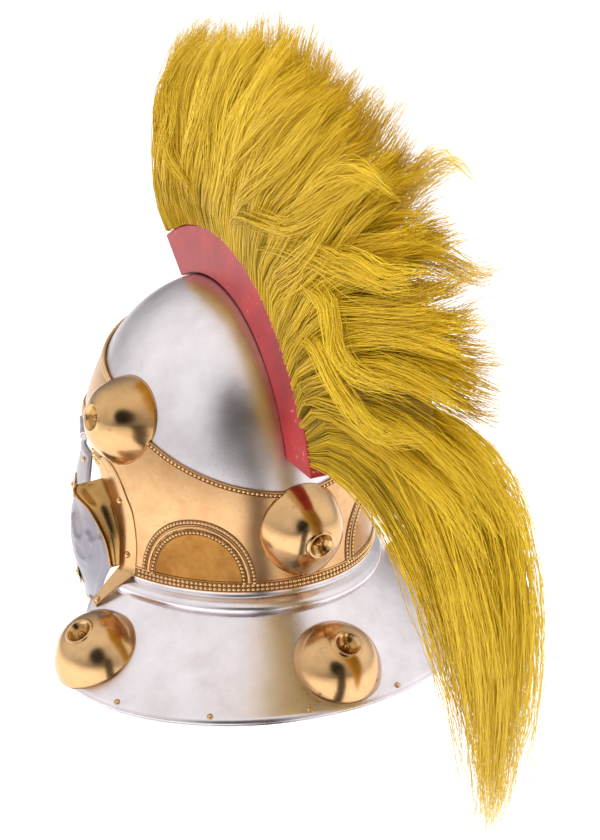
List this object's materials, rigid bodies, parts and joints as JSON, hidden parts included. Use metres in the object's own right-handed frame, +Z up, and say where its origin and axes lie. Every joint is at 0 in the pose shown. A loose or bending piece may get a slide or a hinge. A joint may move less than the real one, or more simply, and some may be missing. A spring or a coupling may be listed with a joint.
{
  "type": "roman cavalry helmet",
  "caption": "Steel cavalry helmet with brass band and conical bosses, flared neck guard, hinged cheek pieces and a horsehair crest.",
  "frame": {"origin": "on the bowl's axis at its widest level, where the helmet sits on a head", "axes": "+Z up toward the crest, -Y the way the face looks, +X the wearer's left"},
  "size_m": [0.3218, 0.439, 0.4835],
  "materials": {
    "satin_steel": "satin, finely scratched",
    "polished_brass": "polished",
    "red_paint": "red paint, a little scratched",
    "golden_hair": "dyed horsehair"
  },
  "bodies": {
    "helmet": {"bowl": "satin_steel", "rim_strip": "satin_steel", "hinge_pin_left": "satin_steel", "hinge_pin_right": "satin_steel", "hinge_leaf_left": "satin_steel", "hinge_leaf_right": "satin_steel", "band": "polished_brass", "front_plate": "polished_brass", "boss_back": "polished_brass", "boss_temple_left": "polished_brass", "boss_temple_right": "polished_brass", "boss_neck_middle": "polished_brass", "boss_neck_left": "polished_brass", "boss_neck_right": "polished_brass", "boss_rivet_back": "polished_brass", "boss_rivet_temple_left": "polished_brass", "boss_rivet_temple_right": "polished_brass", "boss_rivet_neck_middle": "polished_brass", "boss_rivet_neck_left": "polished_brass", "boss_rivet_neck_right": "polished_brass", "rim_rivet_1": "polished_brass", "rim_rivet_2": "polished_brass", "rim_rivet_3": "polished_brass", "rim_rivet_4": "polished_brass", "rim_rivet_5": "polished_brass", "rim_rivet_6": "polished_brass", "ear_guard_left": "polished_brass", "ear_rivet_left_1": "polished_brass", "ear_rivet_left_2": "polished_brass", "ear_rivet_left_3": "polished_brass", "ear_guard_right": "polished_brass", "ear_rivet_right_1": "polished_brass", "ear_rivet_right_2": "polished_brass", "ear_rivet_right_3": "polished_brass", "crest_box": "red_paint", "plume": "golden_hair"},
    "cheek_left": {"cheek_left": "satin_steel", "rosette_left_1": "polished_brass", "rosette_left_2": "polished_brass", "chin_rivet_left": "polished_brass"},
    "cheek_right": {"cheek_right": "satin_steel", "rosette_right_1": "polished_brass", "rosette_right_2": "polished_brass", "chin_rivet_right": "polished_brass"}
  },
  "joints": [
    {"name": "cheek_left_hinge", "type": "hinge", "parent": "helmet", "child": "cheek_left", "pos_m": [0.08714, -0.0494, 0.03038], "axis": [-0.3876, -0.9218, 0], "range_deg": [0, 100]},
    {"name": "cheek_right_hinge", "type": "hinge", "parent": "helmet", "child": "cheek_right", "pos_m": [-0.08714, -0.0494, 0.03038], "axis": [-0.3876, 0.9218, 0], "range_deg": [0, 100]}
  ]
}
